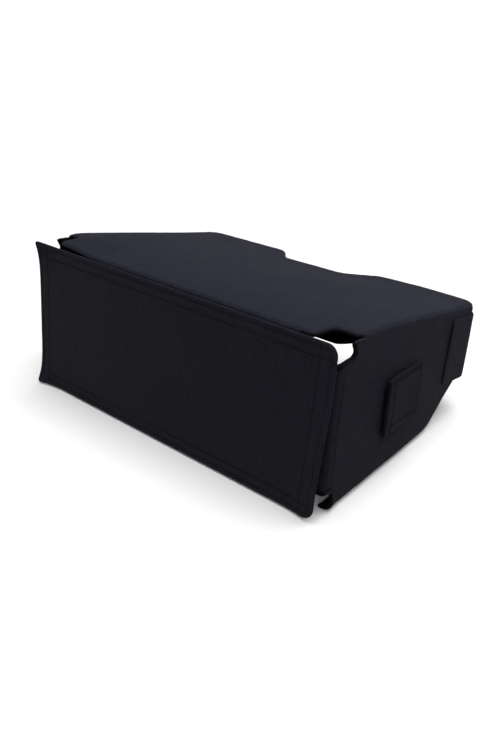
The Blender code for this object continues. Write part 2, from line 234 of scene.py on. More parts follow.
def nearest(points, line, closed=True):
    """Distance to a polyline and the nearest point on it, for many points."""
    start = line
    end = np.roll(line, -1, axis=0)
    if not closed:
        start, end = line[:-1], line[1:]
    run = end - start
    length = np.maximum((run * run).sum(axis=1), 1e-18)
    best = np.empty(len(points))
    where = np.empty_like(points)
    for first in range(0, len(points), 2000):
        some = points[first:first + 2000]
        away = some[:, None, :] - start[None, :, :]
        share = np.clip((away * run[None, :, :]).sum(axis=2) / length, 0.0, 1.0)
        foot = start[None, :, :] + share[:, :, None] * run[None, :, :]
        gap = ((some[:, None, :] - foot) ** 2).sum(axis=2)
        pick = gap.argmin(axis=1)
        rows = np.arange(len(some))
        best[first:first + 2000] = np.sqrt(gap[rows, pick])
        where[first:first + 2000] = foot[rows, pick]
    return best, where


def inside(points, line):
    """Which points lie inside a closed outline."""
    x, y = points[:, 0], points[:, 1]
    result = np.zeros(len(points), dtype=bool)
    end = np.roll(line, -1, axis=0)
    for (x1, y1), (x2, y2) in zip(line, end):
        crosses = (y1 > y) != (y2 > y)
        if y1 != y2:
            result ^= crosses & (x < (x2 - x1) * (y - y1) / (y2 - y1) + x1)
    return result


def even(line, spacing):
    """An open polyline resampled at an even spacing."""
    line = np.asarray(line, dtype=float)
    steps = np.linalg.norm(np.diff(line, axis=0), axis=1)
    along = np.concatenate([[0.0], np.cumsum(steps)])
    count = max(2, round(along[-1] / spacing) + 1)
    marks = np.linspace(0.0, along[-1], count)
    return np.stack([np.interp(marks, along, line[:, k]) for k in range(2)], axis=1)


def triangulated(outline, inner_points):
    """Triangles inside an outline through extra points; returns points, triangles, rim indices."""
    rim = len(outline)
    every = np.concatenate([outline, inner_points]) if len(inner_points) else outline
    edges = [(i, (i + 1) % rim) for i in range(rim)]
    flat = [Vector((float(p[0]), float(p[1]))) for p in every]
    verts, _, faces, origin, _, _ = delaunay_2d_cdt(flat, edges, [], 1, 1e-7)
    points = np.array([[v.x, v.y] for v in verts])
    rim_index = {}
    for made, sources in enumerate(origin):
        for source in sources:
            if source < rim:
                rim_index[source] = made
    triangles = np.array([face for face in faces if len(face) == 3], dtype=int)
    a, b, c = (points[triangles[:, k]] for k in range(3))
    area = (b[:, 0] - a[:, 0]) * (c[:, 1] - a[:, 1]) - (b[:, 1] - a[:, 1]) * (c[:, 0] - a[:, 0])
    triangles[area < 0] = triangles[area < 0][:, ::-1]
    return points, triangles, [rim_index[i] for i in range(rim)]


# ---------------------------------------------------------------- cloth pieces
RIM_RINGS = (0.12, 0.45, 1.0, 1.9)          # rows of points along an edge, in rim widths
ROW_LINES = (-2.1, -1.0, 0.0, 1.0, 2.1)     # and across a stitched groove, in groove widths


def field(points, scale, seed):
    """Smooth noise over the cloth, about -1 to 1."""
    return np.array([noise.noise(Vector((u / scale, v / scale, seed))) for u, v in points])


def new_mesh(name, points, faces, uvs=None, slots=None):
    mesh = bpy.data.meshes.new(name)
    mesh.from_pydata([tuple(map(float, p)) for p in points], [], [list(map(int, f)) for f in faces])
    if uvs is not None:
        layer = mesh.uv_layers.new(name="cloth")
        index = np.empty(len(mesh.loops), dtype=np.int32)
        mesh.loops.foreach_get("vertex_index", index)
        layer.data.foreach_set("uv", uvs[index].astype(np.float32).ravel())
    if slots is not None:
        mesh.polygons.foreach_set("material_index", np.asarray(slots, dtype=np.int32))
    mesh.polygons.foreach_set("use_smooth", np.ones(len(mesh.polygons), dtype=bool))
    mesh.update()
    made = bpy.data.objects.new(name, mesh)
    bpy.context.scene.collection.objects.link(made)
    return made


def normals_of(lift, points, delta=0.0004):
    du = lift(points + (delta, 0.0)) - lift(points - (delta, 0.0))
    dv = lift(points + (0.0, delta)) - lift(points - (0.0, delta))
    n = np.cross(du, dv)
    return n / np.maximum(np.linalg.norm(n, axis=1, keepdims=True), 1e-12)


def sewn(name, outline, lift, thickness, rows=(), relief=None, mirrored=False, spacing=0.005,
         rim=0.0025, groove=0.0007, groove_width=0.0011, back_spacing=0.012, painted_highlight_rim=False):
    """A closed piece of cloth: outer face with stitch grooves and relief, rounded rim, inner face.

    lift turns flat points into places on the outer face; rows are stitched lines on the pattern;
    relief gives a height above the plain face at flat points, from their distance to the rim.
    """
    ring_depths = [rim * share for share in RIM_RINGS]
    rings = [outline.moved_out(-depth).points for depth in ring_depths]
    half = thickness / 2
    row_points = []
    for row in rows:
        line = even(row, 0.0032)
        side = np.gradient(line, axis=0)
        side = np.stack([-side[:, 1], side[:, 0]], axis=1)
        side /= np.maximum(np.linalg.norm(side, axis=1, keepdims=True), 1e-12)
        for shift in ROW_LINES:
            row_points.append(line + side * groove_width * shift)

    def skin(grid, use_rows):
        low, high = outline.points.min(axis=0), outline.points.max(axis=0)
        us = np.arange(low[0] + grid * 0.37, high[0], grid)
        vs = np.arange(low[1] + grid * 0.41, high[1], grid * 0.8660)
        mesh_u, mesh_v = np.meshgrid(us, vs)
        mesh_u = mesh_u + (np.arange(len(vs)) % 2)[:, None] * grid / 2
        spots = np.stack([mesh_u.ravel(), mesh_v.ravel()], axis=1)
        spots = spots[inside(spots, outline.points)]
        gap, _ = nearest(spots, outline.points)
        spots = spots[gap > ring_depths[-1] + grid * 0.45]
        extra = []
        for depth, ring in zip(ring_depths, rings):
            ok = inside(ring, outline.points)
            far, _ = nearest(ring, outline.points)
            extra.append(ring[ok & (far > depth * 0.93)])
        if use_rows:
            for line in row_points:
                ok = inside(line, outline.points)
                far, _ = nearest(line, outline.points)
                extra.append(line[ok & (far > ring_depths[-1] + 0.0008)])
            for row in rows:
                far, _ = nearest(spots, np.asarray(row, dtype=float), closed=False)
                spots = spots[far > groove_width * ROW_LINES[-1] + grid * 0.35]
        extra.append(spots)
        return triangulated(outline.points, np.concatenate(extra))

    outer_uv, outer_faces, outer_rim = skin(spacing, True)
    inner_uv, inner_faces, inner_rim = skin(back_spacing, False)

    def profile(points):
        far, _ = nearest(points, outline.points)
        share = np.clip(far / rim, 0.0, 1.0)
        return far, np.sqrt(np.maximum(1.0 - (1.0 - share) ** 2, 0.0))

    far, full = profile(outer_uv)
    height = -half * (1.0 - full)
    for row in rows:
        gap, _ = nearest(outer_uv, np.asarray(row, dtype=float), closed=False)
        height -= groove * np.exp(-(gap / groove_width) ** 2) * np.clip(far / rim - 0.4, 0.0, 1.0)
    if relief is not None:
        height += relief(outer_uv, far) * np.clip(far / rim, 0.0, 1.0)
    outer = lift(outer_uv) + normals_of(lift, outer_uv) * height[:, None]
    outer_far = far

    far, full = profile(inner_uv)
    inner = lift(inner_uv) - normals_of(lift, inner_uv) * (half + half * full)[:, None]

    count = len(outer)
    remap = np.arange(len(inner)) + count
    for made_in, made_out in zip(inner_rim, outer_rim):
        remap[made_in] = made_out
    points = np.concatenate([outer, inner])
    faces = np.concatenate([outer_faces, remap[inner_faces][:, ::-1]])
    # The outer cloth is turned round the edge, and the lining starts behind it
    round_edge = far[inner_faces].mean(axis=1) < rim * 0.9
    slots = np.concatenate([np.zeros(len(outer_faces), int), np.where(round_edge, 0, 1)])
    # The rim takes the third material, on the front panel the top's lit copy of the cloth: a painted
    # highlight on the panel's rounded rim.
    if painted_highlight_rim:
        slots[:len(outer_faces)][outer_far[outer_faces].mean(axis=1) < rim * 0.75] = 2
        slots[len(outer_faces):][round_edge] = 2
    used = np.unique(faces)
    compact = np.full(len(points), -1)
    compact[used] = np.arange(len(used))
    uvs = np.concatenate([outer_uv, inner_uv])[used]
    points = points[used]
    faces = compact[faces]
    if mirrored:
        points = points * (-1.0, 1.0, 1.0)
        faces = faces[:, ::-1]
    return new_mesh(name, points, faces, uvs, slots)


def stitching(name, rows, lift, mirrored=False, height=0.0001):
    """Thread of the stitched rows: one short domed stitch after another."""
    ring = 5
    points, faces = [], []
    for row in rows:
        line = even(row, STITCH)
        centre = (line[:-1] + line[1:]) / 2
        run = (line[1:] - line[:-1]) * 0.36
        places = [lift(centre + run * s) for s in (-1.0, -0.8, 0.8, 1.0)]
        up = normals_of(lift, centre)
        if mirrored:
            places = [p * (-1.0, 1.0, 1.0) for p in places]
            up = up * (-1.0, 1.0, 1.0)
        for k in range(len(centre)):
            ahead = places[3][k] - places[0][k]
            ahead = ahead / max(np.linalg.norm(ahead), 1e-9)
            side = np.cross(ahead, up[k])
            first = len(points)
            for spot, size, rise in zip(places, (0.45, 1.0, 1.0, 0.45), (-0.5, 0.3, 0.3, -0.5)):
                middle = spot[k] + up[k] * (height + rise * THREAD)
                for j in range(ring):
                    turn = 2 * math.pi * j / ring
                    round_it = side * math.cos(turn) + up[k] * math.sin(turn)
                    points.append(middle + round_it * THREAD * size)
            for r in range(3):
                for j in range(ring):
                    a, b = first + r * ring + j, first + r * ring + (j + 1) % ring
                    faces.append((a, b, b + ring, a + ring))
            faces.append(tuple(first + j for j in reversed(range(ring))))
            faces.append(tuple(first + 3 * ring + j for j in range(ring)))
    return new_mesh(name, points, faces)


def tape_strip(points, faces, line, edge_out, lift, thickness, width, mirrored=False):
    """Adds binding tape folded over one run of a pattern's edge."""
    place = lift(line) - normals_of(lift, line) * (thickness / 2)
    normal = normals_of(lift, line)
    out = lift(line + edge_out * 0.0006) - lift(line - edge_out * 0.0006)
    out /= np.maximum(np.linalg.norm(out, axis=1, keepdims=True), 1e-9)
    far = [lift(line - edge_out * w) for w in (width, width * 0.93, width * 0.5, 0.0015)]
    half = thickness / 2
    section = []
    for spot, rise in zip(far, (0.25, 1.0, 1.35, 1.25)):
        section.append(spot + normal * (TAPE * rise))
    for turn in (50.0, 10.0, -10.0, -50.0):
        c, s = math.cos(math.radians(turn)), math.sin(math.radians(turn))
        section.append(place + out * (TAPE * 1.4 * c) + normal * ((half + TAPE) * s))
    for spot, rise in zip(reversed(far), (1.25, 1.35, 1.0, 0.25)):
        section.append(spot - normal * (thickness + TAPE * rise))
    section.append(far[0] - normal * (thickness - 0.0006))
    section.append(far[0] - normal * 0.0006)
    count = len(section)
    first = len(points)
    for k in range(len(line)):
        for ring in section:
            p = ring[k]
            points.append(p * (-1.0, 1.0, 1.0) if mirrored else p)
    for k in range(len(line) - 1):
        for j in range(count):
            a, b = first + k * count + j, first + k * count + (j + 1) % count
            quad = (a, b, b + count, a + count)
            faces.append(quad[::-1] if mirrored else quad)
    start = tuple(first + j for j in range(count))
    end = tuple(first + (len(line) - 1) * count + j for j in range(count))
    faces.append(start if mirrored else start[::-1])
    faces.append(end[::-1] if mirrored else end)


class Tray:
    """A flat face whose cloth rolls over beyond an inner outline, and then runs straight down.

    radius_at gives the roll's radius at points of that outline.
    """

    def __init__(self, flat, radius_at, to_space):
        self.flat = flat
        self.radius_at = radius_at
        self.to_space = to_space

    def __call__(self, points):
        rolled = ~inside(points, self.flat.points)
        far, near = nearest(points[rolled], self.flat.points)
        away = (points[rolled] - near) / np.maximum(far, 1e-9)[:, None]
        radius = self.radius_at(near)
        turn = np.minimum(far / radius, math.pi / 2)
        flat = points.copy()
        flat[rolled] = near + away * (radius * np.sin(turn))[:, None]
        down = np.zeros(len(points))
        straight = np.maximum(far - radius * math.pi / 2, 0.0)
        down[rolled] = radius * (1.0 - np.cos(turn)) + straight
        return self.to_space(flat, down)


# ---------------------------------------------------------------- top panel
def top_space(flat, down):
    c, s = math.cos(TOP_FALL), math.sin(TOP_FALL)
    y = EDGE_Y + flat[:, 1] * c - down * s
    z = EDGE_Z - flat[:, 1] * s - down * c
    return soften(np.stack([flat[:, 0], y, z], axis=1))


def top_flat_outline():
    """Outline of the top where it starts to roll over, as (x, distance behind the front edge)."""
    r = TOP_ROLL
    side = HALF_WIDTH - r
    rear = TOP_LENGTH - r
    deep = RECESS_DEPTH / math.cos(TOP_FALL)
    cut_t = TOP_CUT_DEPTH + r
    half = [
        (side, rear, REAR_CORNER_RADIUS - r),
        (RECESS_OUTER - 0.0125, rear, 0.024),
        (RECESS_INNER + 0.003, rear - deep, 0.032),
    ]
    mirror = [(-x, t, radius) for x, t, radius in reversed(half)]
    front = r + FRONT_GAP
    front_right = [(0.3150 - r, front, 0.010), (0.3175 - r, cut_t, 0.020), (side, cut_t, 0.010)]
    front_left = [(-side, cut_t, 0.004), (r - 0.3320, cut_t, 0.014), (r - 0.3280, front, 0.012)]
    return rounded(front_right + half + mirror + front_left)


# The cloth runs on over the roll to the seam
TOP_SEAM_TURN = math.acos(1.0 - SEAM_DROP / TOP_ROLL)
top_flat = top_flat_outline()
top_lift = Tray(top_flat, lambda near: np.full(len(near), TOP_ROLL), top_space)
top_outline = top_flat.moved_out(TOP_ROLL * TOP_SEAM_TURN)


def top_relief(points, far):
    """Soft unevenness of the foam, and small puckers that the seam pulls into the roll."""
    broad = field(points, 0.115, 3.1) * 0.0010 + field(points, 0.045, 7.7) * 0.00035
    pucker = field(points, 0.011, 12.3) * 0.00035 * np.exp(-((far - 0.008) / 0.008) ** 2)
    front = np.exp(-np.maximum(points[:, 1] - 0.012, 0.0) / 0.030)
    gathers = field(points * (1.0, 0.35), 0.014, 17.9) * 0.0008
    pucker += gathers * front * np.clip(far / 0.010, 0.0, 1.0)
    return broad * np.clip(far / 0.03, 0.0, 1.0) + pucker


# ---------------------------------------------------------------- side panels
def side_space(hand):
    def space(flat, down):
        return soften(np.stack([HALF_WIDTH - down, flat[:, 0], flat[:, 1]], axis=1), hand)
    return space


RAMP_BREAK_Z = (RAMP_BREAK_Y - RAMP_START_Y) * math.tan(RAMP_RISE)
FORM_LINES = {              # the straight sides of the side view, as (point, heading)
    "floor": (RAMP_START_Y, 0.0, 0.0),
    "ramp": (RAMP_START_Y, 0.0, RAMP_RISE),
    "upper_ramp": (RAMP_BREAK_Y, RAMP_BREAK_Z, RAMP_UPPER_RISE),
    "rear": (DEPTH, REAR_TOP_Z, math.pi / 2 - REAR_LEAN),
    "front": (FRONT_FOOT_Y, 0.0, 1.5 * math.pi - FRONT_LEAN),
}


def side_roll_at(near):
    """Radius of the roll at points where it starts: how far they are from the form's edge."""
    gap = {
        name: (near[:, 1] - z) * math.cos(a) - (near[:, 0] - y) * math.sin(a)
        for name, (y, z, a) in FORM_LINES.items()
    }
    ramps = np.maximum(gap["ramp"], gap["upper_ramp"])
    return np.clip(np.minimum.reduce([gap["front"], gap["floor"], ramps, gap["rear"]]), 0.008, 0.036)


def skirt(name):
    """Cloth beyond the start of a side's roll: the roll itself and what is turned in."""
    radius = SIDE_ROLLS[name]
    return radius * math.pi / 2 + TURN_IN - radius


CLEAR_ABOVE = 0.060         # height at which the side faces end, well above the seam


def side_lines(out):
    """The sides of the side view moved out by out(name), as (point, heading)."""
    lines = {
        name: (y + out(name) * math.sin(a), z - out(name) * math.cos(a), a)
        for name, (y, z, a) in FORM_LINES.items()
    }
    lines["above"] = (DEPTH, REAR_TOP_Z + CLEAR_ABOVE, math.pi - TOP_FALL)
    drop = (SEAM_DROP + SKIN_GAP) / math.cos(TOP_FALL)
    lines["seam"] = (DEPTH, REAR_TOP_Z - drop, math.pi - TOP_FALL)
    return lines


def meet(one, other):
    (y1, z1, a1), (y2, z2, a2) = one, other
    c1, s1, c2, s2 = math.cos(a1), math.sin(a1), math.cos(a2), math.sin(a2)
    along = ((y2 - y1) * s2 - (z2 - z1) * c2) / (c1 * s2 - s1 * c2)
    return y1 + along * c1, z1 + along * s1


def level(line, z):
    """The point of a line at height z."""
    y0, z0, a = line
    return y0 + (z - z0) / math.tan(a), z


flat_lines = side_lines(lambda name: -SIDE_ROLLS[name])
low_rear = side_lines(lambda name: -SIDE_ROLLS["ramp"])["rear"]
side_flat = rounded([
    (*meet(flat_lines["front"], flat_lines["floor"]), 0.005),
    (*meet(flat_lines["floor"], flat_lines["ramp"]), 0.036),
    (*meet(flat_lines["ramp"], flat_lines["upper_ramp"]), 0.060),
    (*meet(flat_lines["upper_ramp"], low_rear), 0.010),
    (*level(flat_lines["rear"], 0.150), 0.040),
    (*meet(flat_lines["rear"], flat_lines["above"]), 0.002),
    (*meet(flat_lines["above"], flat_lines["front"]), 0.002),
])
side_lifts = {hand: Tray(side_flat, side_roll_at, side_space(hand)) for hand in (1.0, -1.0)}

skirt_lines = side_lines(lambda name: skirt(name) - SIDE_ROLLS[name])
FRONT_SKIRT = skirt("front")
CUT_LOW_Z = 0.2650          # lower edge of the upper cut-outs
NOTCH_REAR_Y = 0.0415       # rear edge of the cut-outs at the floor
NOTCH_TOP_Z = 0.0455        # and their upper edge


def on_front_skirt(z):
    """The point of the front skirt's edge level with z on the front of the side face."""
    y = flat_lines["front"][0] + (z - flat_lines["front"][1]) * FRONT_TAN
    return y - FRONT_SKIRT * math.cos(FRONT_LEAN), z + FRONT_SKIRT * math.sin(FRONT_LEAN)


def seam_z(y):
    return REAR_TOP_Z - (SEAM_DROP + SKIN_GAP) / math.cos(TOP_FALL) + (DEPTH - y) * TOP_TAN


def side_pattern(cut_rear):
    """Corners of a side panel; cut_rear is where its upper cut-out meets the top's seam."""
    return [
        (*meet(skirt_lines["seam"], skirt_lines["rear"]), 0.002),
        (cut_rear, seam_z(cut_rear), 0.003),
        (cut_rear + 0.0080, CUT_LOW_Z + 0.0050, 0.006),
        (cut_rear - 0.0005, CUT_LOW_Z, 0.006),
        (*on_front_skirt(CUT_LOW_Z), 0.002),
        (*on_front_skirt(NOTCH_TOP_Z), 0.002),
        (0.0330, NOTCH_TOP_Z - 0.0005, 0.008),
        (NOTCH_REAR_Y, 0.0370, 0.008),
        (NOTCH_REAR_Y, skirt_lines["floor"][1], 0.002),
        (*meet(skirt_lines["floor"], skirt_lines["ramp"]), 0.060),
        (*meet(skirt_lines["ramp"], skirt_lines["upper_ramp"]), 0.022),
        (*meet(skirt_lines["upper_ramp"], skirt_lines["rear"]), 0.030),
    ]


def side_relief(seed):
    def relief(points, far):
        broad = field(points, 0.10, seed) * 0.0010 + field(points, 0.040, seed + 4) * 0.0003
        back, up = (points[:, 0] - 0.27) / 0.12, (points[:, 1] - 0.105) / 0.065
        broad += SIDE_BULGE * np.exp(-back ** 2 - up ** 2)
        pucker = field(points, 0.012, seed + 9) * 0.00025 * np.exp(-((far - 0.007) / 0.007) ** 2)
        return broad * np.clip(far / 0.03, 0.0, 1.0) + pucker
    return relief


# ---------------------------------------------------------------- rear flap
FLAP_START_Y = 0.380        # where its way round the rear starts, on each side
FLAP_CORNER_RADIUS = REAR_CORNER_RADIUS + 0.002


def flap_contour():
    """The flap's way round the rear in plan, from the right tab to the left one."""
    r = FLAP_CORNER_RADIUS
    quarter = [
        (HALF_WIDTH - r + r * math.cos(a), DEPTH - r + r * math.sin(a))
        for a in np.linspace(0.0, math.pi / 2, 25)
    ]
    xs = np.arange(HALF_WIDTH - r - 0.002, -1e-9, -0.002)
    share = np.clip((RECESS_OUTER - xs) / (RECESS_OUTER - RECESS_INNER), 0.0, 1.0)
    rear = [(float(x), float(DEPTH - RECESS_DEPTH * smooth_share(s))) for x, s in zip(xs, share)]
    half = [(HALF_WIDTH, FLAP_START_Y), *quarter, *rear]
    if half[-1][0] > 1e-6:
        half.append((0.0, DEPTH - RECESS_DEPTH))
    return np.array(half + [(-x, y) for x, y in reversed(half[:-1])])


contour = even(flap_contour(), 0.0010)
contour_steps = np.linalg.norm(np.diff(contour, axis=0), axis=1)
contour_along = np.concatenate([[0.0], np.cumsum(contour_steps)])
CONTOUR_LENGTH = contour_along[-1]
FLAP_OUT = 2.0 * SKIN_GAP + FLAP_CLOTH


def flap_lift(points):
    """From (distance along the contour, height) to the flap's outer face."""
    along, height = points[:, 0], points[:, 1]
    reach = 0.0015
    a = [np.interp(along - reach, contour_along, contour[:, k]) for k in (0, 1)]
    b = [np.interp(along + reach, contour_along, contour[:, k]) for k in (0, 1)]
    dx, dy = b[0] - a[0], b[1] - a[1]
    size = np.maximum(np.hypot(dx, dy), 1e-9)
    x = np.interp(along, contour_along, contour[:, 0]) + dy / size * FLAP_OUT
    y = np.interp(along, contour_along, contour[:, 1]) - dx / size * FLAP_OUT
    y = y + (height - REAR_TOP_Z) * math.tan(REAR_LEAN)
    return soften(np.stack([x, y, height], axis=1))


TAB_EDGE_Y = 0.417          # front edge of a tab
TAB_DROP = 0.0135           # a tab's upper edge, below the seam of the top
FLAP_FOOT_DROP = 0.1455     # the flap's lower edge, square down from the top plane
FLAP_TOP_DROP = SEAM_DROP - 0.0014      # its upper edge, just above the top's seam


def flap_height(along, drop):
    """Height on the flap at a depth square below the top plane."""
    y = np.interp(along, contour_along, contour[:, 1])
    return top_plane(y) - drop / math.cos(TOP_FALL)


def flap_outline():
    tab_start = TAB_EDGE_Y - FLAP_START_Y
    corner = (DEPTH - REAR_CORNER_RADIUS - FLAP_START_Y) + REAR_CORNER_RADIUS * 0.95
    # The foot follows the tabs' slope at the sides, and is level across the rear
    level_foot = float(flap_height(corner, FLAP_FOOT_DROP))
    foot = []
    for s in np.linspace(tab_start - 0.006, CONTOUR_LENGTH - tab_start + 0.006, 90):
        sloping = float(flap_height(s, FLAP_FOOT_DROP))
        across_rear = corner < s < CONTOUR_LENGTH - corner
        foot.append((s, min(sloping, level_foot) if across_rear else sloping))
    head = [(s, float(flap_height(s, FLAP_TOP_DROP))) for s in
            np.linspace(CONTOUR_LENGTH - corner, corner, 130)]
    tab_head = float(flap_height(tab_start, SEAM_DROP + TAB_DROP))
    tab_corner = float(flap_height(corner, SEAM_DROP + TAB_DROP))

    def with_ends(line, radius):
        return [(*line[0], radius), *((*p, 0.0) for p in line[1:-1]), (*line[-1], radius)]

    return rounded([
        *with_ends(foot, 0.004),
        (CONTOUR_LENGTH - tab_start, tab_head, 0.004), (CONTOUR_LENGTH - corner, tab_corner, 0.003),
        *with_ends(head, 0.003),
        (corner, tab_corner, 0.003), (tab_start, tab_head, 0.004),
    ])


flap_pattern = flap_outline()


def flap_relief(points, far):
    broad = field(points, 0.09, 31.0) * 0.0008 + field(points, 0.035, 35.0) * 0.0003
    return broad * np.clip(far / 0.02, 0.0, 1.0)


# ---------------------------------------------------------------- front panel
def front_corner(x, v):
    """How near the panel's side edges, and how near their ends, from 0 to 1."""
    margin = np.maximum(0.0, 1.0 - (FRONT_WIDTH / 2 - np.abs(x)) / CURL_MARGIN) ** 2
    return margin, np.abs(2.0 * (v - FRONT_SLANT / 2) / FRONT_SLANT) ** 6


def front_depth(x, v):
    """How far the front panel stands back at x and at v along its height."""
    margin, corner = front_corner(x, v)
    curl = np.where(v > FRONT_SLANT / 2, UPPER_CURL, LOWER_CURL)
    left = margin * (SAG_BACK * (1.0 - corner) - curl * corner)
    low = smooth_share(np.clip((0.75 - v / FRONT_SLANT) / 0.35, 0.0, 1.0))
    return np.where(x > 0, -RIGHT_CURL * margin * low, left)


def front_lift(points):
    x, v = points[:, 0], points[:, 1]
    back = front_depth(x, v) - FRONT_CLOTH
    c, s = math.cos(FRONT_LEAN), math.sin(FRONT_LEAN)
    y = FRONT_BACK_Y + back * c + v * s
    z = FRONT_FOOT + v * c - back * s
    margin, corner = front_corner(x, v)
    z = z + UPPER_RISE * margin * corner * ((x < 0) & (v > FRONT_SLANT / 2))
    low = smooth_share(np.clip((0.55 - v / FRONT_SLANT) / 0.40, 0.0, 1.0))
    x = x - FRONT_SHIFT - LOWER_SHIFT * low * np.clip(x / (FRONT_WIDTH / 2), 0.0, 1.0)
    return np.stack([x, y - MOUNT_Y, z - MOUNT_Z], axis=1)


front_outline = rounded([
    (-FRONT_WIDTH / 2, 0.0, 0.008), (FRONT_WIDTH / 2, 0.0, 0.026),
    (FRONT_WIDTH / 2, FRONT_SLANT, 0.020), (-FRONT_WIDTH / 2, FRONT_SLANT, 0.008),
])


def front_rows():
    half, tall = FRONT_WIDTH / 2, FRONT_SLANT
    high, low, left, right = tall - 0.026, 0.025, -half + 0.030, half - 0.031
    edge = 0.0095
    inner = rounded([
        (-half + edge, edge, 0.004), (half - edge, edge, 0.012),
        (half - edge, tall - edge, 0.012), (-half + edge, tall - edge, 0.004),
    ]).points
    return [
        [(-half + 0.003, high), (half - 0.003, high)],
        [(-half + 0.003, low), (half - 0.003, low)],
        [(left, 0.003), (left, tall - 0.003)],
        [(right, 0.003), (right, tall - 0.003)],
        np.concatenate([inner, inner[:1]]),
    ]


def front_relief(points, far):
    broad = field(points, 0.13, 51.0) * 0.0009 + field(points, 0.05, 55.0) * 0.0003
    hem = np.exp(-((far - 0.0045) / 0.0040) ** 2) * 0.00035
    return broad * np.clip(far / 0.02, 0.0, 1.0) + hem


# ---------------------------------------------------------------- handle flaps
def handle_lift(points):
    """From (distance to the rear, height), both from the flap's middle, to its outer face."""
    u, v = points[:, 0], points[:, 1]
    turn = math.atan2(HALF_WIDTH - REAR_HALF_WIDTH, DEPTH)
    lifted = HANDLE_LIFT * np.maximum(0.0, 0.5 - u / HANDLE_WIDTH) ** 2
    side_x = HALF_WIDTH - (HALF_WIDTH - REAR_HALF_WIDTH) * HANDLE_Y / DEPTH
    out = side_x + HANDLE_STAND + HANDLE_CLOTH
    c, s = math.cos(HANDLE_TILT), math.sin(HANDLE_TILT)
    along = u * c + v * s
    up = -u * s + v * c
    x = out - along * math.sin(turn) + lifted
    y = HANDLE_Y + along * math.cos(turn)
    return np.stack([x, y - MOUNT_Y, HANDLE_Z + up - MOUNT_Z], axis=1)


handle_outline = rounded([
    (-HANDLE_WIDTH / 2, -HANDLE_HEIGHT / 2, 0.006), (HANDLE_WIDTH / 2, -HANDLE_HEIGHT / 2, 0.006),
    (HANDLE_WIDTH / 2, HANDLE_HEIGHT / 2, 0.005), (-HANDLE_WIDTH / 2, HANDLE_HEIGHT / 2, 0.005),
], step=0.002)


def handle_rows():
    w, h = HANDLE_WIDTH / 2, HANDLE_HEIGHT / 2
    return [
        [(-w + 0.002, h - 0.0085), (w - 0.002, h - 0.0085)],
        [(-w + 0.002, -h + 0.0185), (w - 0.002, -h + 0.0160)],
        [(-w + 0.019, -h + 0.002), (-w + 0.019, h - 0.002)],
        [(w - 0.0034, -h + 0.004), (w - 0.0034, h - 0.0034), (-w + 0.004, h - 0.0034)],
    ]


def handle_relief(points, far):
    crown = np.clip(far / 0.014, 0.0, 1.0) ** 0.5 * 0.0008 - 0.0008
    return crown + field(points, 0.04, 71.0) * 0.0003


